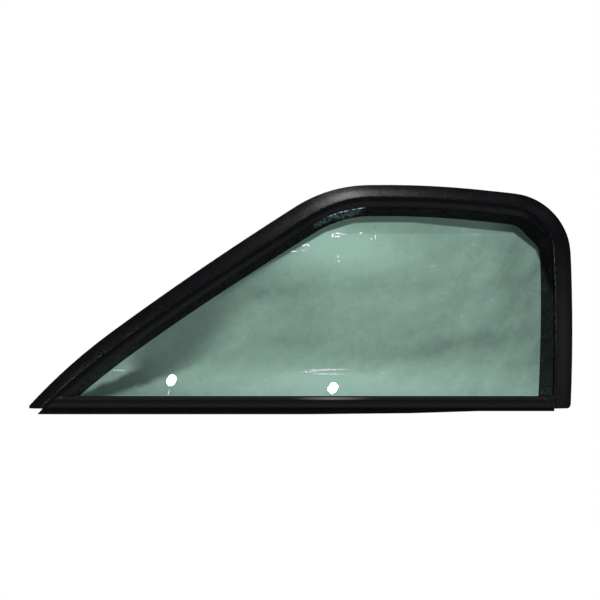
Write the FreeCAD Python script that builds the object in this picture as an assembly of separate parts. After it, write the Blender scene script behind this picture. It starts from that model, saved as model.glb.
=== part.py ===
import FreeCAD, Part
import math
import os

# Quarter window glass: a curved safety-glass pane held in a black rubber
# seal. Millimetres. X runs along the car, +X towards the rear pillar. Z is
# up and -Y is the outer face of the car. The origin lies on the flat
# underside of the sill strip, in the middle of its thickness.

os.makedirs("parts", exist_ok=True)

# The seal's outer edge, walked anticlockwise as seen from outside: up the
# rear pillar, over the roof and down the long slant to the nose
PILLAR_FOOT_X = 391.8
PILLAR_FOOT_Z = -9.5
PILLAR_LEAN = 2.2          # degrees out at its foot, and in again at its top
PILLAR_HEIGHT = 243.1
CORNER_RADIUS = 92.0
ROOF_FALL = 6.1            # degrees, the roof falls towards the rear
ROOF_STRAIGHT = 46.0
ROOF_RADIUS = 1318.0
BROW_START = 1.2           # degrees, where the roof bends down to the slant
BROW_RADIUS = 200.6
SLANT_START = 32.4         # degrees below level
SLANT_RADIUS = 4877.0
NOSE_START = 36.2          # degrees below level
NOSE_RADIUS = 834.0
NOSE_ANGLE = 51.0          # degrees below level, past the pointed front end
TIP_X = -394.5             # the point is snipped off square here

# Glass
BARREL_RADIUS = 2500.0     # the pane is bent about a line along the car
BARREL_HEIGHT = 168.5      # height at which the pane stands upright
GLASS_THICKNESS = 4.0
GLASS_EDGE_IN = 20.0       # glass edge, in from the seal's outer edge
GLASS_FOOT_Z = 15.3
GLASS_CORNER = 6.0
GLASS_ARRIS = 0.6          # ground edge
GLASS_CLEARANCE = 0.2      # all round the pane in its groove

# Surround seal section. Widths run in from the outer edge, depths run
# back from the outer face of the glass. The tail is the slant's low end.
RIDGE_IN = {
    "foot": 24.2, "pillar": 24.2, "corner": 21.0, "roof": 18.4,
    "slant": 22.6, "tail": 18.7, "nose": 13.8,
}
RIDGE_UP = {
    "foot": 7.4, "pillar": 7.4, "corner": 8.0, "roof": 8.6,
    "slant": 8.6, "tail": 8.2, "nose": 7.8,
}
FRONT_LIP = {
    "foot": 26.6, "pillar": 26.6, "corner": 31.0, "roof": 32.4,
    "slant": 35.0, "tail": 33.0, "nose": 31.0,
}
BACK_LIP = {
    "foot": 47.2, "pillar": 44.2, "corner": 50.5, "roof": 45.4,
    "slant": 46.8, "tail": 43.5, "nose": 39.5,
}
LIP_TIP = 0.9              # thickness of the front lip where it ends
BACK_LIP_TIP = 1.3
OUTER_LIP_FACE = -0.6      # depth of the outer edge's front corner
OUTER_LIP_BACK = 1.4       # the lip's back face lies on the body panel
FLANGE_SLOT = 2.6          # width of the slot that takes the body flange
FLANGE_SLOT_IN = 13.0
REAR_WALL_IN = 5.0
REAR_FACE = 12.0           # depth of the seal's back face
REAR_HEEL_IN = 9.0
REAR_SHOULDER_IN = 24.0
SEAL_FOOT_Z = 8.9
FOOT_ROUND = 5.0
SEAM_AROUND = 0.83         # moulded joint, as a share of the way round the brow
SEAM_WIDTH = 0.6
SEAM_DEPTH = 0.6

# Sill strip section, heights up from the underside
SILL_TOP = 26.9
SILL_BACK_TOP = 25.9
SILL_REAR_X = 369.0
SILL_LOW_RIDGE = 5.5
SILL_GROOVE = 4.6
SILL_TOP_RIDGE = 6.6
SILL_REAR_FACE = 11.0
BASE_FRONT = 1.5
BASE_BACK = 10.5
SILL_JOINT_GAP = 0.3       # left open where the strip butts to the surround
BASE_END_IN = 17.0         # the base's pointed end, in from the nose edge
FACE_END_IN = 19.0         # the strip's face runs into the nose to here
TRIM_START_X = 12.0        # the base is cut shallower towards the rear
TRIM_MIDDLE_X = 160.0
TRIM_MIDDLE = 1.5
TRIM_FULL_X = 258.0
TRIM_FULL = 4.6

BIG = 1000.0
SECTION_SPACING = 24.0     # between the sections the seal is drawn through
LOFT_DEGREE = 8


def bend(x, height, depth):
    """Point at a height on the bent pane and a depth behind its face."""
    turn = (height - BARREL_HEIGHT) / BARREL_RADIUS
    reach = BARREL_RADIUS - depth
    y = BARREL_RADIUS - reach * math.cos(turn)
    z = BARREL_HEIGHT + reach * math.sin(turn)
    return FreeCAD.Vector(x, y - SEAT_Y, z)


def seat_depth():
    """Distance the origin lies behind the pane's outer face line."""
    turn = BARREL_HEIGHT / BARREL_RADIUS
    middle = (BASE_FRONT + BASE_BACK) / 2
    return BARREL_RADIUS - (BARREL_RADIUS - middle) * math.cos(turn)


SEAT_Y = seat_depth()


def edge_segments():
    """The outer edge as (length, heading at start, heading at end)."""
    roof = 180 - ROOF_FALL
    slant = 180 + SLANT_START
    nose = 180 + NOSE_START
    up = 90 - PILLAR_LEAN
    top = 90 + PILLAR_LEAN

    def arc(radius, start, end):
        return (radius * math.radians(end - start), start, end)

    return [
        (PILLAR_HEIGHT, up, top),
        arc(CORNER_RADIUS, top, roof),
        (ROOF_STRAIGHT, roof, roof),
        arc(ROOF_RADIUS, roof, 180 + BROW_START),
        arc(BROW_RADIUS, 180 + BROW_START, slant),
        arc(SLANT_RADIUS, slant, nose),
        arc(NOSE_RADIUS, nose, 180 + NOSE_ANGLE),
    ]


def walk(x, z, length, start, end):
    """Where a segment from (x, z) ends."""
    first = math.radians(start)
    last = math.radians(end)
    if abs(end - start) < 1e-6:
        return x + length * math.cos(first), z + length * math.sin(first)
    radius = length / (last - first)
    x_end = x + radius * (math.sin(last) - math.sin(first))
    z_end = z + radius * (math.cos(first) - math.cos(last))
    return x_end, z_end


def station_at(number, part):
    """A point on the outer edge: x, z, heading, segment and share of it."""
    x = PILLAR_FOOT_X
    z = PILLAR_FOOT_Z
    segments = edge_segments()
    for length, start, end in segments[:number]:
        x, z = walk(x, z, length, start, end)
    length, start, end = segments[number]
    heading = start + (end - start) * part
    x, z = walk(x, z, length * part, start, heading)
    return x, z, heading, number, part


def edge_stations():
    """Stations evenly spaced along the whole outer edge."""
    segments = edge_segments()
    total = sum(length for length, start, end in segments)
    count = round(total / SECTION_SPACING)
    stations = []
    for step in range(count + 1):
        number = 0
        distance = total * step / count
        while number < len(segments) - 1 and distance > segments[number][0]:
            distance -= segments[number][0]
            number += 1
        stations.append(station_at(number, min(distance / segments[number][0], 1.0)))
    return stations


def offset_point(station, inward):
    heading = math.radians(station[2])
    x = station[0] - inward * math.sin(heading)
    z = station[1] + inward * math.cos(heading)
    return x, z


def blend(sizes, station):
    """A size that eases from one named place to the next along the edge."""
    names = (
        ("foot", "pillar"),
        ("pillar", "corner", "roof"),
        ("roof", "roof"),
        ("roof", "roof"),
        ("roof", "slant"),
        ("slant", "tail"),
        ("tail", "nose"),
    )[station[3]]
    spans = len(names) - 1
    span = min(int(station[4] * spans), spans - 1)
    part = station[4] * spans - span
    ease = part * part * (3 - 2 * part)
    return sizes[names[span]] + (sizes[names[span + 1]] - sizes[names[span]]) * ease


def seal_section(station):
    """Closed section wire of the surround seal at one station."""
    ridge = blend(RIDGE_IN, station)
    height = blend(RIDGE_UP, station)
    front = blend(FRONT_LIP, station)
    back = blend(BACK_LIP, station)
    inside_glass = GLASS_THICKNESS / 2
    slope_in = (ridge + front) / 2
    slope_depth = -(height - 0.5 + LIP_TIP) / 2 + 0.5

    def at(inward, depth):
        x, z = offset_point(station, inward)
        return bend(x, z, depth)

    def line(a, b):
        return Part.makeLine(at(*a), at(*b))

    def arc(a, middle, b):
        return Part.Arc(at(*a), at(*middle), at(*b)).toShape()

    lip_back = (0.0, OUTER_LIP_BACK)
    lip_edge = (0.0, OUTER_LIP_FACE + 0.7)
    lip_front = (0.8, OUTER_LIP_FACE)
    before_ridge = (ridge - 1.6, -(height - 0.6))
    face_middle = (ridge * 0.5, -height * 0.62)
    top_ridge = (ridge, -height)
    after_ridge = (ridge + 1.2, -(height - 0.5))
    slope = (slope_in, slope_depth)
    lip_end = (front, -LIP_TIP)
    slot_back = OUTER_LIP_BACK + FLANGE_SLOT
    edges = [
        line(lip_back, lip_edge),
        line(lip_edge, lip_front),
        arc(lip_front, face_middle, before_ridge),
        arc(before_ridge, top_ridge, after_ridge),
        arc(after_ridge, slope, lip_end),
        line(lip_end, (front, inside_glass)),
        line((front, inside_glass), (back, inside_glass)),
        line((back, inside_glass), (back, GLASS_THICKNESS + BACK_LIP_TIP)),
        line((back, GLASS_THICKNESS + BACK_LIP_TIP), (REAR_SHOULDER_IN, REAR_FACE - 1)),
        line((REAR_SHOULDER_IN, REAR_FACE - 1), (REAR_HEEL_IN, REAR_FACE)),
        line((REAR_HEEL_IN, REAR_FACE), (REAR_WALL_IN, REAR_FACE - 3)),
        line((REAR_WALL_IN, REAR_FACE - 3), (REAR_WALL_IN, slot_back)),
        line((REAR_WALL_IN, slot_back), (FLANGE_SLOT_IN, slot_back)),
        line((FLANGE_SLOT_IN, slot_back), (FLANGE_SLOT_IN, OUTER_LIP_BACK)),
        line((FLANGE_SLOT_IN, OUTER_LIP_BACK), lip_back),
    ]
    return Part.Wire(edges)


def seal_body():
    """The surround before the glass is let into it."""
    sections = [seal_section(station) for station in edge_stations()]
    seal = Part.makeLoft(sections, True, False, False, LOFT_DEGREE)
    return seal.cut(below(SEAL_FOOT_Z))


def below(height):
    corner = FreeCAD.Vector(-BIG, -BIG, height - BIG)
    return Part.makeBox(2 * BIG, 2 * BIG, BIG, corner)


def plate(corners):
    """Prism through the whole depth from corners (x, z)."""
    points = [FreeCAD.Vector(x, -BIG, z) for x, z in corners]
    face = Part.Face(Part.makePolygon(points + points[:1]))
    return face.extrude(FreeCAD.Vector(0, 2 * BIG, 0))


def glass_outline(inward):
    """The glass edge in front view, down to below the sill."""
    edges = []
    for number in range(len(edge_segments())):
        points = []
        for part in (0.0, 0.5, 1.0):
            x, z = offset_point(station_at(number, part), inward)
            points.append(FreeCAD.Vector(x, -BIG, z))
        if station_at(number, 0.0)[2] == station_at(number, 1.0)[2]:
            edges.append(Part.makeLine(points[0], points[2]))
        else:
            edges.append(Part.Arc(*points).toShape())
    end = edges[-1].Vertexes[-1].Point
    start = edges[0].Vertexes[0].Point
    edges.append(Part.makeLine(end, start))
    return Part.Wire(edges)


def barrel(depth):
    """Solid bounded by the bent surface at a depth behind the face."""
    foot = FreeCAD.Vector(-BIG, BARREL_RADIUS - SEAT_Y, BARREL_HEIGHT)
    along = FreeCAD.Vector(1, 0, 0)
    return Part.makeCylinder(BARREL_RADIUS - depth, 2 * BIG, foot, along)


def is_low_corner(edge, foot):
    low = abs(edge.BoundBox.ZMax - foot) < 1e-3
    return low and edge.BoundBox.YLength > BIG


def glass_blank(room):
    """The pane with square edges, larger all round by the room given."""
    foot = GLASS_FOOT_Z - room
    outline = glass_outline(GLASS_EDGE_IN - room)
    prism = Part.Face(outline).extrude(FreeCAD.Vector(0, 2 * BIG, 0))
    prism = prism.cut(below(foot)).Solids[0]
    corners = [edge for edge in prism.Edges if is_low_corner(edge, foot)]
    prism = prism.makeFillet(GLASS_CORNER, corners)
    shell = barrel(-room).cut(barrel(GLASS_THICKNESS + room))
    return prism.common(shell).Solids[0]


def ground_edges(pane):
    """The pane with its arrises ground off all round."""
    rims = [edge for edge in pane.Edges if not runs_through(edge)]
    return pane.makeChamfer(GLASS_ARRIS, rims)


def runs_through(edge):
    return abs(edge.tangentAt(edge.FirstParameter).y) > 0.99


def nose_line(inward):
    """Two points on the line at a width in from the nose's outer edge."""
    station = min(edge_stations(), key=lambda s: abs(s[1]) + (s[3] != 6) * BIG)
    x, z = offset_point(station, inward)
    heading = math.radians(station[2])
    across = math.cos(heading) / math.sin(heading)
    return x - (z + BIG) * across, x + (BIG - z) * across


def beyond_nose(inward, low, high):
    """Everything in front of a line parallel to the nose's outer edge."""
    foot, head = nose_line(inward)
    slope = (head - foot) / (2 * BIG)
    foot_x = foot + (low + BIG) * slope
    head_x = foot + (high + BIG) * slope
    return plate([(-BIG, low), (foot_x, low), (head_x, high), (-BIG, high)])


def sill_section():
    """Closed section face of the sill strip, at the strip's rear end."""
    inside_glass = GLASS_THICKNESS / 2
    under = -3.0

    def at(height, depth):
        return bend(SILL_REAR_X, height, depth)

    def line(a, b):
        return Part.makeLine(at(*a), at(*b))

    def arc(a, middle, b):
        return Part.Arc(at(*a), at(*middle), at(*b)).toShape()

    face_foot = (SEAL_FOOT_Z, -SILL_LOW_RIDGE * 0.45)
    low_ridge = (SEAL_FOOT_Z + 3.6, -SILL_LOW_RIDGE)
    hollow = (SEAL_FOOT_Z + 8.0, -SILL_GROOVE)
    rise = (SILL_TOP - 5.6, -SILL_TOP_RIDGE + 0.4)
    lip_end = (SILL_TOP, -LIP_TIP)
    back_top = (SILL_BACK_TOP, GLASS_THICKNESS + BACK_LIP_TIP)
    edges = [
        arc(face_foot, (SEAL_FOOT_Z + 1.2, -SILL_LOW_RIDGE * 0.86), low_ridge),
        arc(low_ridge, hollow, rise),
        arc(rise, (SILL_TOP - 2.4, -SILL_TOP_RIDGE * 0.84), lip_end),
        line(lip_end, (SILL_TOP, inside_glass)),
        line((SILL_TOP, inside_glass), (SILL_BACK_TOP, inside_glass)),
        line((SILL_BACK_TOP, inside_glass), back_top),
        line(back_top, (SILL_TOP / 2, SILL_REAR_FACE)),
        line((SILL_TOP / 2, SILL_REAR_FACE), (SEAL_FOOT_Z / 2, SILL_REAR_FACE)),
        line((SEAL_FOOT_Z / 2, SILL_REAR_FACE), (under, BASE_BACK)),
        line((under, BASE_BACK), (under, BASE_FRONT)),
        line((under, BASE_FRONT), (SEAL_FOOT_Z, BASE_FRONT)),
        line((SEAL_FOOT_Z, BASE_FRONT), face_foot),
    ]
    return Part.Face(Part.Wire(edges))


def sill_strip(seal, groove):
    """The strip, scribed to the surround at both ends."""
    length = FreeCAD.Vector(-2 * SILL_REAR_X - 100, 0, 0)
    strip = sill_section().extrude(length)
    strip = strip.cut(below(0))
    strip = strip.cut(beyond_nose(FACE_END_IN, SEAL_FOOT_Z, BIG))
    strip = strip.cut(beyond_nose(BASE_END_IN, -BIG, SEAL_FOOT_Z))
    strip = strip.cut(base_trim())
    strip = strip.cut(groove)
    near = plate([(-BIG, 0), (BIG, 0), (BIG, 2 * SILL_TOP), (-BIG, 2 * SILL_TOP)])
    ends = seal.common(near)
    gap = SILL_JOINT_GAP
    for way in ((gap, 0, 0), (-gap, 0, 0), (0, gap, 0), (0, 0, -gap)):
        strip = strip.cut(ends.translated(FreeCAD.Vector(*way)))
    return biggest(strip)


def base_trim():
    return plate([
        (TRIM_START_X, -BIG),
        (TRIM_START_X, 0),
        (TRIM_MIDDLE_X, TRIM_MIDDLE),
        (TRIM_FULL_X, TRIM_FULL),
        (BIG, TRIM_FULL),
        (BIG, -BIG),
    ])


def biggest(shape):
    return max(shape.Solids, key=lambda solid: solid.Volume)


def seam():
    """The shallow nick where the extrusion meets the moulded brow."""
    station = station_at(4, SEAM_AROUND)
    ridge = blend(RIDGE_IN, station)
    floor = SEAM_DEPTH - blend(RIDGE_UP, station)
    outline = [
        (ridge * 0.5, -GLASS_THICKNESS * 5),
        (ridge * 0.5, floor * 0.62),
        (ridge - 1.6, floor + 0.6),
        (ridge + 1.2, floor + 0.5),
        (ridge + 1.2, -GLASS_THICKNESS * 5),
    ]
    base = bend(*offset_point(station, ridge), 0)
    inward_way = bend(*offset_point(station, ridge + 1), 0) - base
    depth_way = bend(*offset_point(station, ridge), 1) - base
    points = []
    for inward, depth in outline:
        points.append(base + inward_way * (inward - ridge) + depth_way * depth)
    across = Part.Face(Part.makePolygon(points + points[:1]))
    return across.extrude(inward_way.cross(depth_way) * SEAM_WIDTH)


def foot_corner():
    """What the rounded foot of the rear pillar leaves off."""
    x = PILLAR_FOOT_X - FOOT_ROUND
    z = SEAL_FOOT_Z + FOOT_ROUND
    block = plate([(x, -BIG), (BIG, -BIG), (BIG, z), (x, z)])
    centre = FreeCAD.Vector(x, -BIG, z)
    along = FreeCAD.Vector(0, 1, 0)
    return block.cut(Part.makeCylinder(FOOT_ROUND, 2 * BIG, centre, along))


def snipped_tip():
    return plate([(-BIG, -BIG), (TIP_X, -BIG), (TIP_X, BIG), (-BIG, BIG)])


seal = seal_body().cut(foot_corner())
seal = seal.cut(snipped_tip())
groove = glass_blank(GLASS_CLEARANCE)
sill_strip(seal, groove).exportStep("parts/sill_strip.step")
seal = seal.cut(groove)
seal = seal.cut(seam())
biggest(seal).exportStep("parts/surround_seal.step")
ground_edges(glass_blank(0)).exportStep("parts/glass_pane.step")
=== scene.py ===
import math

import bpy
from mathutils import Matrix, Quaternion, Vector

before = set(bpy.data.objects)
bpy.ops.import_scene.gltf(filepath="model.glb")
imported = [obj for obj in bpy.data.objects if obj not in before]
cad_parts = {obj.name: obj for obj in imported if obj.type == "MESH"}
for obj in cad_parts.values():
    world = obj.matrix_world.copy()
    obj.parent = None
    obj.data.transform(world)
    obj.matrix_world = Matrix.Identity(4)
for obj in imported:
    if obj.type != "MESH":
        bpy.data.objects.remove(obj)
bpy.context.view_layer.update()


# Surround seal. Black rubber, extruded in long lengths and moulded together
# at the corners. Its face rises to a ridge and falls to the glass, and its
# outer edge is slotted for the body's flange.

SEAL_BLACK = (0.0015, 0.0017, 0.0024, 1)
SEAL_FADED = (0.0026, 0.0028, 0.0038, 1)
SEAL_BLOOM = (0.013, 0.014, 0.017, 1)
NOSE_OLIVE = (0.0028, 0.0046, 0.0020, 1)
SEAL_SCUFFED = (0.10, 0.105, 0.115, 1)
SEAL_ROUGHNESS = 0.25
SEAM_ROUGHNESS = 0.40
SEAL_SPECULAR = 0.42

# Each mark is an oval in millimetres: middle x and z, half its length and
# width along x and z, and its tilt in degrees.
SEAM_MARK = (12.6, 296.3, 6.5, 1.5, -47)
SEAL_SCUFFS = [
    (82, 318, 7, 0.7, -27),
    (354, 181, 0.8, 9, 0),
    (356.5, 114, 0.7, 3, 0),
    (351.5, 79, 0.9, 2.2, 0),
    (351.5, 33.5, 0.8, 5, 0),
]


class Wire:
    """A node's output, so that shader maths reads as arithmetic."""

    def __init__(self, tree, socket):
        self.tree = tree
        self.socket = socket

    def node(self, kind, settings=None, inputs=None, output=0):
        """A node of this kind: its settings, then its sockets' values or links."""
        made = self.tree.nodes.new(kind)
        for name, value in (settings or {}).items():
            setattr(made, name, value)
        for name, value in (inputs or {}).items():
            if isinstance(value, Wire):
                self.tree.links.new(value.socket, made.inputs[name])
            else:
                made.inputs[name].default_value = value
        return Wire(self.tree, made.outputs[output])

    def maths(self, operation, first, second=0.0):
        return self.node("ShaderNodeMath", {"operation": operation}, {0: first, 1: second})

    def __add__(self, other):
        return self.maths("ADD", self, other)

    def __radd__(self, other):
        return self.maths("ADD", other, self)

    def __sub__(self, other):
        return self.maths("SUBTRACT", self, other)

    def __rsub__(self, other):
        return self.maths("SUBTRACT", other, self)

    def __mul__(self, other):
        return self.maths("MULTIPLY", self, other)

    def __rmul__(self, other):
        return self.maths("MULTIPLY", other, self)

    def larger(self, other):
        return self.maths("MAXIMUM", self, other)

    def smaller(self, other):
        return self.maths("MINIMUM", self, other)

    def size(self):
        return self.maths("ABSOLUTE", self)

    def step(self, low, high, start=0.0, end=1.0):
        """Goes smoothly from start to end as the value rises from low to high."""
        settings = {"interpolation_type": "SMOOTHSTEP"}
        inputs = {"Value": self, "From Min": low, "From Max": high, "To Min": start, "To Max": end}
        return self.node("ShaderNodeMapRange", settings, inputs)


def colour_mix(amount, first, second):
    """First colour where amount is 0, second where it is 1."""
    settings = {"data_type": "RGBA"}
    return amount.node("ShaderNodeMix", settings, {"Factor": amount, 6: first, 7: second}, 2)


def new_material(name):
    """An empty material, its place on the part in metres, and its output node."""
    material = bpy.data.materials.new(name)
    material.use_nodes = True
    tree = material.node_tree
    tree.nodes.clear()
    output = tree.nodes.new("ShaderNodeOutputMaterial")
    place = Wire(tree, None).node("ShaderNodeTexCoord", output=3)
    return material, place, output


def lay_on(shader, output):
    """Joins a shader to its material's surface."""
    shader.tree.links.new(shader.socket, output.inputs["Surface"])


def xyz(place):
    """The place as three wires, in metres."""
    split = place.node("ShaderNodeSeparateXYZ", inputs={"Vector": place})
    outputs = split.socket.node.outputs
    return [Wire(place.tree, outputs[axis]) for axis in range(3)]


def noise(place, scale, detail=2.0, roughness=0.5, stretch=(1.0, 1.0, 1.0)):
    """Cloudy pattern about 0.5, drawn out along an axis whose stretch is below 1."""
    spread = place.node("ShaderNodeVectorMath", {"operation": "MULTIPLY"}, {0: place, 1: stretch})
    inputs = {"Vector": spread, "Scale": scale, "Detail": detail, "Roughness": roughness}
    return place.node("ShaderNodeTexNoise", inputs=inputs)


def bump(height, strength, distance):
    inputs = {"Height": height, "Strength": strength, "Distance": distance}
    return height.node("ShaderNodeBump", inputs=inputs)


def mark(place, x, z, half_length, half_width, tilt=0.0):
    """A soft oval, 1 at its middle and 0 at its rim, tilted up to the right."""
    inputs = {
        "Vector": place,
        "Location": (x / 1000, 0.0, z / 1000),
        "Rotation": (0.0, -math.radians(tilt), 0.0),
        "Scale": (half_length / 1000, 1.0, half_width / 1000),
    }
    near = place.node("ShaderNodeMapping", {"vector_type": "TEXTURE"}, inputs)
    far = near.node("ShaderNodeVectorMath", {"operation": "LENGTH"}, {0: near}, 1)
    return far.step(0.0, 1.0, start=1.0, end=0.0)


def marks(place, places):
    """The strongest of several marks at each point."""
    strongest = mark(place, *places[0])
    for spot in places[1:]:
        strongest = strongest.larger(mark(place, *spot))
    return strongest


def dress(node, material):
    """Gives a carried-over piece its finish."""
    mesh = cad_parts[node].data
    mesh.materials.clear()
    mesh.materials.append(material)


def seal_rubber():
    """Satin black, a little faded, scuffed at the edges and olive at the nose."""
    material, place, output = new_material("seal_rubber")
    x, y, z = xyz(place)
    cloud = noise(place, 22.0, detail=3.0)
    grain = noise(place, 1500.0)
    bloom = noise(place, 60.0, detail=4.0, roughness=0.6).step(0.45, 0.80)
    olive = x.step(-0.36, -0.22, start=0.7, end=0.0)
    seam = mark(place, *SEAM_MARK)
    shade = colour_mix(cloud, SEAL_BLACK, SEAL_FADED)
    shade = colour_mix(bloom * 0.20, shade, SEAL_BLOOM)
    shade = colour_mix(olive, shade, NOSE_OLIVE)
    shade = colour_mix(marks(place, SEAL_SCUFFS), shade, SEAL_SCUFFED)
    rubber = place.node("ShaderNodeBsdfPrincipled", inputs={
        "Base Color": shade,
        "Roughness": SEAL_ROUGHNESS + 0.04 * cloud + 0.03 * bloom + SEAM_ROUGHNESS * seam,
        "Specular IOR Level": SEAL_SPECULAR,
        "Normal": bump(grain, 0.10, 0.0003),
    })
    lay_on(rubber, output)
    return material


dress("surround_seal", seal_rubber())


# Sill strip. A heavier black rubber extrusion under the glass, with two soft
# ridges on its face and a plain base that stands on the body's sill. The base
# is painted darker, as painted shade under the face.

STRIP_BLACK = (0.0066, 0.0065, 0.0069, 1)
STRIP_FADED = (0.0104, 0.0102, 0.0110, 1)
BASE_SHADED_BLACK = (0.0022, 0.0022, 0.0023, 1)
STRIP_SCUFFED = (0.07, 0.07, 0.075, 1)
STRIP_PAINTED_HIGHLIGHT = (0.165, 0.145, 0.150, 1)
MITRE_HIGHLIGHT = (0.035, 0.035, 0.037, 1)
STRIP_ROUGHNESS = 0.48
STRIP_SPECULAR = 0.16
BASE_TOP = (0.0080, 0.0094)
# A pale pink painted highlight near the strip's middle, where a lamp shines on it.
PAINTED_HIGHLIGHT_MARK = (46, 23.6, 66, 3.0)
# A painted highlight along the mitre where the strip meets the pillar seal.
MITRE_MARK = (355, 22, 9, 1.1, -45)
STRIP_SCUFFS = [(-348, 26, 6, 2.2, 10), (-325, 27, 3, 1.4, 0)]


def strip_rubber():
    """Duller black with fine lines drawn along it, with a painted highlight near its middle."""
    material, place, output = new_material("strip_rubber")
    x, y, z = xyz(place)
    cloud = noise(place, 30.0, detail=3.0, stretch=(0.3, 1.0, 1.0))
    grain = noise(place, 1500.0)
    drawn = noise(place, 160.0, stretch=(0.04, 1.0, 1.0))
    shade = colour_mix(cloud, STRIP_BLACK, STRIP_FADED)
    # Painted shade: the base below the face is set darker.
    shade = colour_mix(z.step(*BASE_TOP), BASE_SHADED_BLACK, shade)
    shade = colour_mix(marks(place, STRIP_SCUFFS), shade, STRIP_SCUFFED)
    # Painted highlight: a pale pink sheen near the strip's middle.
    shade = colour_mix(mark(place, *PAINTED_HIGHLIGHT_MARK), shade, STRIP_PAINTED_HIGHLIGHT)
    # Painted highlight: a pale line along the mitre at the rear corner.
    shade = colour_mix(mark(place, *MITRE_MARK), shade, MITRE_HIGHLIGHT)
    rubber = place.node("ShaderNodeBsdfPrincipled", inputs={
        "Base Color": shade,
        "Roughness": STRIP_ROUGHNESS + 0.12 * cloud + 0.06 * drawn,
        "Specular IOR Level": STRIP_SPECULAR,
        "Normal": bump(grain + drawn, 0.22, 0.0004),
    })
    lay_on(rubber, output)
    return material


dress("sill_strip", strip_rubber())


# Glass pane. Green-tinted safety glass, 4 mm thick, heat-bent and tempered,
# with its edge ground. It is pressed into the seal's groove, and old wash
# water has dried on it. Its tint is painted paler and deeper in patches as
# painted light and shade, with painted shadows of the seal along its edges,
# and painted glints lie among the dried marks.

DEEPEST_GREEN = (0.004, 0.010, 0.008, 1)
PALEST_GREEN = (0.310, 0.490, 0.412, 1)
# White of the dried marks, also used for the painted glints.
DRIED_AND_GLINT_WHITE = (0.90, 0.95, 0.94, 1)
RESIDUE_BLUE = (0.36, 0.62, 0.74, 1)
GLASS_INDEX = 1.5
PANE_LIGHT = 0.62
FOLD_LEAN = math.radians(24)
RUN_LEAN = math.radians(62)

# Wide soft patches of painted light and shade: how much paler than the pane,
# or deeper where it is below 0, and the patch's oval as for the marks above.
PAINTED_LIGHT_PATCHES = [
    (0.36, (61, 240, 200, 62, -3)),
    (0.14, (48, 250, 80, 32, 0)),
    (-0.06, (285, 250, 45, 22, -10)),
    (0.10, (112, 165, 120, 34, 0)),
    (0.28, (43, 48, 450, 44, 0)),
    (0.20, (40, 52, 120, 17, 0)),
    (0.10, (60, 34, 300, 16, 0)),
    (0.07, (249, 149, 87, 16, 28)),
    (-0.18, (210, 101, 135, 24, 12)),
    (-0.10, (-15, 106, 80, 20, -2)),
    (-0.12, (-30, 178, 85, 20, 5)),
    (-0.10, (305, 202, 40, 32, 60)),
    (-0.09, (288, 102, 48, 26, 0)),
]

# Straight lines through two points x, z in millimetres.
WEDGE_STEEP_EDGE = ((-182, 62), (-12, 235))
WEDGE_GENTLE_EDGE = ((-279, 26), (-182, 60))
PALE_TIP_EDGE = ((-320, 28), (-237, 64))
SLANT_SEAL_EDGE = ((-146, 158), (-15.5, 243))
NOSE_SEAL_EDGE = ((-321, 30), (-218.5, 108.3))
REAR_CORNER_EDGES = [((308, 265), (341, 239)), ((341, 239), (348, 221))]

# Lower edge of the painted shadow strip under the roof, in metres: a shallow arch,
# and straight runs at its ends, each by a point's x and z and its rise per metre.
ARCH_TOP_X = 0.130
ARCH_TOP_Z = 0.279
ARCH_CURVE = 0.47
STRAIGHT_RUNS = [(0.2165, 0.2733, -0.1016), (0.0469, 0.2682, 0.32), (0.0135, 0.2519, 0.58)]

TICKS = [(108, 272, 0.9, 6, 0), (-281.6, 55.5, 1.0, 3.6, 0), (304, 236, 1.2, 1.2, 0), (310, 216, 1.6, 1.6, 0)]
DENTS = [(102, 196, 3.5, 1.2, 20), (86, 170, 3, 1.2, -15), (184, 86, 4, 1.3, 10), (46, 228, 4, 1.6, 15)]
PUCKERS = [(40, 229, 10, 5, 20), (-17, 206, 14, 7, 10), (-52, 176, 16, 8, 15), (78, 222, 9, 4, 70)]
# Painted glints: small white highlights, laid over the glass in the same dull white as the dried marks.
GLINTS = [
    (46.3, 260.0, 2.4, 4.4, 0),
    (54, 263.2, 7, 1.3, 0),
    (53, 258.5, 6.5, 1.6, 0),
    (5.2, 245.9, 5.0, 1.4, 30),
    (11.0, 245.9, 4.4, 1.4, -33),
    (-9.7, 236.9, 5.6, 1.3, 0),
    (87.5, 263.2, 3.2, 1.3, 15),
    (108.3, 257.6, 1.2, 5.0, 0),
    (102.5, 254.5, 1.1, 3.0, 0),
    (-191.6, 32.3, 7.5, 0.8, 76),
    (55, 222.5, 1.2, 2.2, 0),
]
STREAKS = [
    (3, 238, 9, 1.2, 8),
    (62, 262, 8, 1.1, 0),
    (54, 229.5, 3.0, 2.2, 30),
    (36, 65, 42, 2.0, 1),
    (40, 59, 34, 1.6, 0),
    (12, 62, 20, 1.5, 2),
    (-264.5, 64.4, 14, 0.8, 0),
]
HAIRS = [
    (254, 246, 12, 1.1, -20),
    (191, 215, 9, 1.1, 3),
    (251, 262, 16, 1.0, -8),
    (120, 60, 16, 1.0, 2),
    (234, 144, 2, 1.4, 0),
    (199, 130, 2, 1.2, 0),
    (279, 167, 5, 1.4, 20),
]
REAR_SPOTS = [(354, 113, 1.2, 1.6, 0), (350, 79, 1.2, 2.0, 0), (350, 33, 1.0, 4, 0), (353, 181, 1.2, 2, 0)]
RESIDUE_LINES = [(46, 289.6, 12, 1.2, 20), (62, 294.6, 13, 1.5, 14), (82, 298.6, 16, 1.1, 9)]
RESIDUE = [(62, 290, 38, 8, 14), (34, 281, 26, 6, 28)]


def side_of(x, z, line):
    """Distance in millimetres from a line, more to its upper left."""
    start, end = line
    along = Vector(end) - Vector(start)
    along.normalize()
    return (x * 1000 - start[0]) * -along.y + (z * 1000 - start[1]) * along.x


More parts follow.
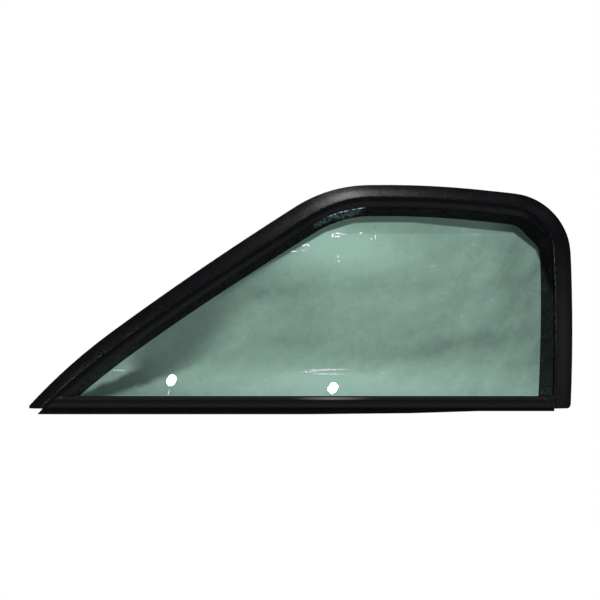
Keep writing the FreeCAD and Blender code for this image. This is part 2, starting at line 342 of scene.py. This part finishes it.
def painted_light_and_shade(place, x, z):
    """How much light the pane lets through, painted light and shade from 0, deep green, to 1, pale."""
    turned = place.node("ShaderNodeMapping", inputs={"Vector": place, "Rotation": (0, FOLD_LEAN, 0)})
    leaning = place.node("ShaderNodeMapping", inputs={"Vector": place, "Rotation": (0, RUN_LEAN, 0)})
    folds = noise(turned, 11.0, stretch=(1.0, 1.0, 3.2)) - 0.5
    clouds = noise(place, 9.0, detail=3.0, roughness=0.55) - 0.5
    mottle = noise(place, 70.0, detail=4.0, roughness=0.62) - 0.5
    fine = noise(place, 250.0, roughness=0.6) - 0.5
    runs = noise(leaning, 34.0, detail=3.0, roughness=0.6, stretch=(0.3, 1.0, 1.0)) - 0.5
    waves = noise(turned, 24.0, detail=3.0, roughness=0.55, stretch=(1.0, 1.0, 1.5)) - 0.5
    creases = waves.size().step(0.0, 0.045, start=1.0, end=0.0)
    light = PANE_LIGHT + 0.18 * folds + 0.12 * clouds + 0.21 * mottle + 0.14 * fine
    light = light + 0.030 * creases + 0.34 * runs * x.step(0.16, 0.26)
    for paler, oval in PAINTED_LIGHT_PATCHES:
        light = light + paler * mark(place, *oval)
    # Painted shade towards the rear edge, above the sill.
    light = light - 0.16 * x.step(0.255, 0.345) * z.step(0.02, 0.07)
    # Painted shade low down at the front.
    shade_low_front = x.step(-0.270, -0.070, start=1.0, end=0.0)
    return light - 0.22 * shade_low_front * z.step(0.02, 0.08, start=1.0, end=0.0)


def painted_shadow_wedge(place, x, z):
    """A painted shadow, the deep green wedge up the slanted edge, and painted light in the pale corner below
    it.
    """
    ragged = 9.0 * (noise(place, 38.0, detail=3.0, roughness=0.6) - 0.5)
    steep = side_of(x, z, WEDGE_STEEP_EDGE) + ragged
    gentle = side_of(x, z, WEDGE_GENTLE_EDGE) + ragged
    lowest = side_of(x, z, PALE_TIP_EDGE) + ragged
    painted_light_tip = lowest.step(-3.0, 6.0) * x.step(-0.262, -0.222, start=1.0, end=0.0)
    depth = x.step(-0.160, -0.020, start=0.58, end=0.08)
    front_depth = x.step(-0.250, -0.170, start=0.20, end=0.0)
    depth = depth + front_depth * z.step(0.06, 0.10, start=1.0, end=0.0)
    wedge = depth * steep.step(-32.0, 14.0) * gentle.step(-7.0, 5.0) * (1 - painted_light_tip)
    return wedge, painted_light_tip


def seal_shadow_strip(x, z):
    """Where the painted shadow of the seal lies under the roof and round the rear corner, and its tone."""
    from_top = x - ARCH_TOP_X
    lower_edge = ARCH_TOP_Z - ARCH_CURVE * (from_top * from_top)
    for point_x, point_z, rise in STRAIGHT_RUNS:
        lower_edge = lower_edge.smaller(point_z + rise * (x - point_x))
    first, second = REAR_CORNER_EDGES
    corner = side_of(x, z, first).larger(side_of(x, z, second))
    strip = (z - lower_edge).step(-0.0012, 0.0016).larger(corner.step(-1.5, 1.5))
    tone = x.step(0.02, 0.10, start=0.20, end=0.17) - x.step(0.265, 0.315, start=0.0, end=0.11)
    return strip, tone


def dried_marks_and_glints(place, x, z, painted_light_tip):
    """How much the dried water, residue, fallen specks and painted glints hide the glass."""
    broken = noise(place, 420.0, detail=3.0, roughness=0.7, stretch=(0.5, 1.0, 1.0)).step(0.36, 0.54)
    flecks = noise(place, 330.0, detail=3.0, roughness=0.7, stretch=(1.0, 1.0, 0.7))
    specks = noise(place, 300.0, detail=1.0).step(0.79, 0.83) * x.step(0.10, 0.20)
    clear = side_of(x, z, NOSE_SEAL_EDGE).step(-4.0, -1.0, start=1.0, end=0.0)
    haze = painted_light_tip * clear * noise(place, 60.0, detail=4.0, roughness=0.6).step(0.30, 0.65)
    film = noise(place, 30.0, detail=5.0, roughness=0.7).step(0.45, 0.85)
    residue_lines = marks(place, RESIDUE_LINES).step(0.0, 0.7) * flecks.step(0.38, 0.56)
    residue = marks(place, RESIDUE).step(0.0, 0.6) * flecks.step(0.40, 0.70)
    # Painted glints first, then the real dust: streaks, specks, hairs and residue.
    dust_and_glints = marks(place, GLINTS).step(0.0, 0.5)
    dust_and_glints = dust_and_glints.larger(0.75 * marks(place, STREAKS).step(0.0, 0.6) * broken)
    dust_and_glints = dust_and_glints.larger(0.18 * specks)
    dust_and_glints = dust_and_glints.larger(0.28 * marks(place, HAIRS) * broken)
    dust_and_glints = dust_and_glints.larger(residue_lines * 0.75)
    dust_and_glints = dust_and_glints.larger(residue * 0.15)
    return dust_and_glints + 0.08 * marks(place, REAR_SPOTS) + 0.004 * film + 0.09 * haze


def tinted_glass():
    """Clear green glass with painted light and shade in its tint, and the dried marks and painted glints
    mixed over it as a dull white.
    """
    material, place, output = new_material("tinted_glass")
    x, y, z = xyz(place)
    wedge, painted_light_tip = painted_shadow_wedge(place, x, z)
    # The painted shadow deepens the tint, and the pale painted-light corner is taken down a little.
    light = painted_light_and_shade(place, x, z) * (1 - wedge) - 0.07 * painted_light_tip
    # Painted shadow of the seal along the slanted edge.
    shadow_beside_slant = side_of(x, z, SLANT_SEAL_EDGE).step(-13.0, -1.0) * x.step(-0.14, -0.10)
    light = light * (1 - 0.40 * shadow_beside_slant)
    shade_band = z.step(0.2618, 0.2630) * x.step(0.058, 0.068, start=0.4, end=1.0)
    light = light * (1 - 0.12 * shade_band)
    # Painted shadow of the seal under the roof and round the rear corner.
    strip, strip_tone = seal_shadow_strip(x, z)
    light = light * (1 - strip) + strip_tone * strip
    sill_line = z.step(0.0266, 0.0270) * z.step(0.0278, 0.0286, start=1.0, end=0.0)
    sill_line = sill_line * x.step(-0.30, -0.26)
    puckers = marks(place, PUCKERS)
    light = light - 0.34 * marks(place, TICKS) - 0.16 * marks(place, DENTS)
    light = light - 0.30 * puckers * noise(place, 150.0).step(0.50, 0.68) + 0.12 * sill_line
    tint = colour_mix(light.larger(0.03).smaller(1.0), DEEPEST_GREEN, PALEST_GREEN)
    glass = place.node("ShaderNodeBsdfPrincipled", inputs={
        "Base Color": tint,
        "Roughness": 0.0,
        "IOR": GLASS_INDEX,
        "Transmission Weight": 1.0,
    })
    blue = marks(place, RESIDUE).step(0.0, 0.3)
    settled_and_glints = place.node("ShaderNodeBsdfPrincipled", inputs={
        "Base Color": colour_mix(blue, DRIED_AND_GLINT_WHITE, RESIDUE_BLUE),
        "Roughness": 0.6,
    })
    dust_and_glints = dried_marks_and_glints(place, x, z, painted_light_tip)
    mixed = dust_and_glints.node("ShaderNodeMixShader", inputs={0: dust_and_glints, 1: glass, 2: settled_and_glints})
    lay_on(mixed, output)
    return material


dress("glass_pane", tinted_glass())


# Studio. A pale floor that runs up into a pale wall all round, far enough
# off that no view is blocked. It isn't part of the window.

FLOOR_RADIUS = 6.0
FLOOR_HEIGHT = -1.5
COVE_RADIUS = 1.5
COVE_STEPS = 8
WALL_HEIGHT = 5.0
ROOF_RISE = 1.0
STEPS_ROUND = 64
WHITE = (1.0, 1.0, 1.0)


def pale_studio():
    """A round room: flat floor, quarter-round cove, upright wall and a low cone over it."""
    profile = [(0.0, FLOOR_HEIGHT), (FLOOR_RADIUS, FLOOR_HEIGHT)]
    for turn in range(1, COVE_STEPS + 1):
        angle = math.radians(90 * turn / COVE_STEPS)
        radius = FLOOR_RADIUS + COVE_RADIUS * math.sin(angle)
        profile.append((radius, FLOOR_HEIGHT + COVE_RADIUS * (1 - math.cos(angle))))
    profile.append((FLOOR_RADIUS + COVE_RADIUS, WALL_HEIGHT))
    profile.append((0.0, WALL_HEIGHT + ROOF_RISE))
    rings = []
    vertices = []
    for radius, height in profile:
        ring = []
        for step in range(STEPS_ROUND if radius else 1):
            angle = 2 * math.pi * step / STEPS_ROUND
            ring.append(len(vertices))
            vertices.append((radius * math.cos(angle), radius * math.sin(angle), height))
        rings.append(ring)
    faces = []
    for lower, upper in zip(rings, rings[1:]):
        for step in range(STEPS_ROUND):
            after = (step + 1) % STEPS_ROUND
            corners = [lower[step % len(lower)], lower[after % len(lower)]]
            corners += [upper[after % len(upper)], upper[step % len(upper)]]
            faces.append(list(dict.fromkeys(corners)))
    mesh = bpy.data.meshes.new("pale_studio")
    mesh.from_pydata(vertices, [], faces)
    for face in mesh.polygons:
        face.use_smooth = True
    studio = bpy.data.objects.new("pale_studio", mesh)
    bpy.context.scene.collection.objects.link(studio)
    return studio


def pale_paint():
    """Even white that glows, so that it stays free of shade."""
    material, place, output = new_material("pale_paint")
    paint = place.node("ShaderNodeEmission", inputs={"Color": (*WHITE, 1), "Strength": 1.0})
    lay_on(paint, output)
    return material


studio = pale_studio()
studio.data.materials.append(pale_paint())
studio.visible_diffuse = False
studio.visible_glossy = False
studio.visible_shadow = False

world = bpy.data.worlds.new("studio_air")
bpy.context.scene.world = world
world.use_nodes = True
air = world.node_tree.nodes["Background"]
air.inputs["Color"].default_value = (0.9, 0.95, 1.0, 1)
air.inputs["Strength"].default_value = 0.06


# Lamps. A softbox high in front and cards round the sides light the rubber's
# faces, one behind lights the back, and two small bulbs shine in the pane.
# None of them is part of the window.

PANE_MIDDLE = (0.0, 0.0, 0.15)
BULB_SIZE = (0.030, 0.068)
BULB_POWER = 0.25
BULB_TURN = -8


def lamp(name, place, target, size, power, colour=WHITE, shape="RECTANGLE", turn=0.0):
    """A flat soft lamp of some width and height, facing a target, turned by degrees in its plane."""
    light = bpy.data.lights.new(name, "AREA")
    light.shape = shape
    light.size, light.size_y = size
    light.energy = power
    light.color = colour
    holder = bpy.data.objects.new(name, light)
    holder.location = place
    aim = Vector(target) - Vector(place)
    facing = aim.to_track_quat("-Z", "Y") @ Quaternion((0, 0, 1), math.radians(turn))
    holder.rotation_euler = facing.to_euler()
    holder.visible_camera = False
    holder.visible_transmission = False
    bpy.context.scene.collection.objects.link(holder)
    return holder


def bulb(name, place, target):
    lamp(name, place, target, BULB_SIZE, BULB_POWER, shape="ELLIPSE", turn=BULB_TURN)


lamp("key_softbox", (-0.10, -1.23, 1.63), (0.06, 0, 0.30), (0.30, 0.76), 9.4, (1.0, 0.97, 0.95))
lamp("top_card", (-0.12, -0.55, 1.85), (0.06, 0, 0.30), (0.3, 0.5), 0.8, (1.0, 0.98, 0.97))
lamp("corner_card", (1.25, -1.17, 1.17), (0.35, 0, 0.27), (0.5, 0.5), 0.18)
lamp("right_card", (1.60, -1.56, -0.05), (0.38, 0, 0.1), (0.7, 0.55), 0.6)
lamp("side_strip", (-0.95, -1.60, 0.20), (0.3, 0, 0.2), (0.12, 0.5), 3.5)
lamp("floor_bounce", (0.5, -1.5, -1.1), (0.1, 0, 0.2), (1.2, 0.6), 0.8)
fill = lamp("front_fill", (0.6, -3.2, 0.9), PANE_MIDDLE, (1.6, 1.2), 80.0)
fill.visible_glossy = False
lamp("rear_softbox", (0.5, 2.6, 1.6), PANE_MIDDLE, (1.4, 1.0), 70.0, (0.95, 0.98, 1.0))
bulb("left_bulb", (-0.398, -2.47, -0.32), (-0.187, 0, 0.047))
bulb("right_bulb", (0.101, -2.475, -0.364), (0.0475, 0, 0.037))


# Camera. It stands square on to the outside of the window, level with the
# middle of its height, and isn't part of the window.

WINDOW_MIDDLE = Vector((-0.0010, -0.0117, 0.1663))
FRAME_WIDTH = 0.870
CAMERA_DISTANCE = 2.2
FILM_WIDTH = 36.0
FARTHEST_SEEN = 50.0

eye = bpy.data.cameras.new("camera")
eye.sensor_width = FILM_WIDTH
eye.lens = FILM_WIDTH * CAMERA_DISTANCE / FRAME_WIDTH
eye.clip_end = FARTHEST_SEEN
camera = bpy.data.objects.new("camera", eye)
camera.location = WINDOW_MIDDLE - Vector((0, CAMERA_DISTANCE, 0))
camera.rotation_euler = (math.radians(90), 0, 0)
bpy.context.scene.collection.objects.link(camera)
bpy.context.scene.camera = camera
bpy.context.scene.view_settings.view_transform = "Standard"
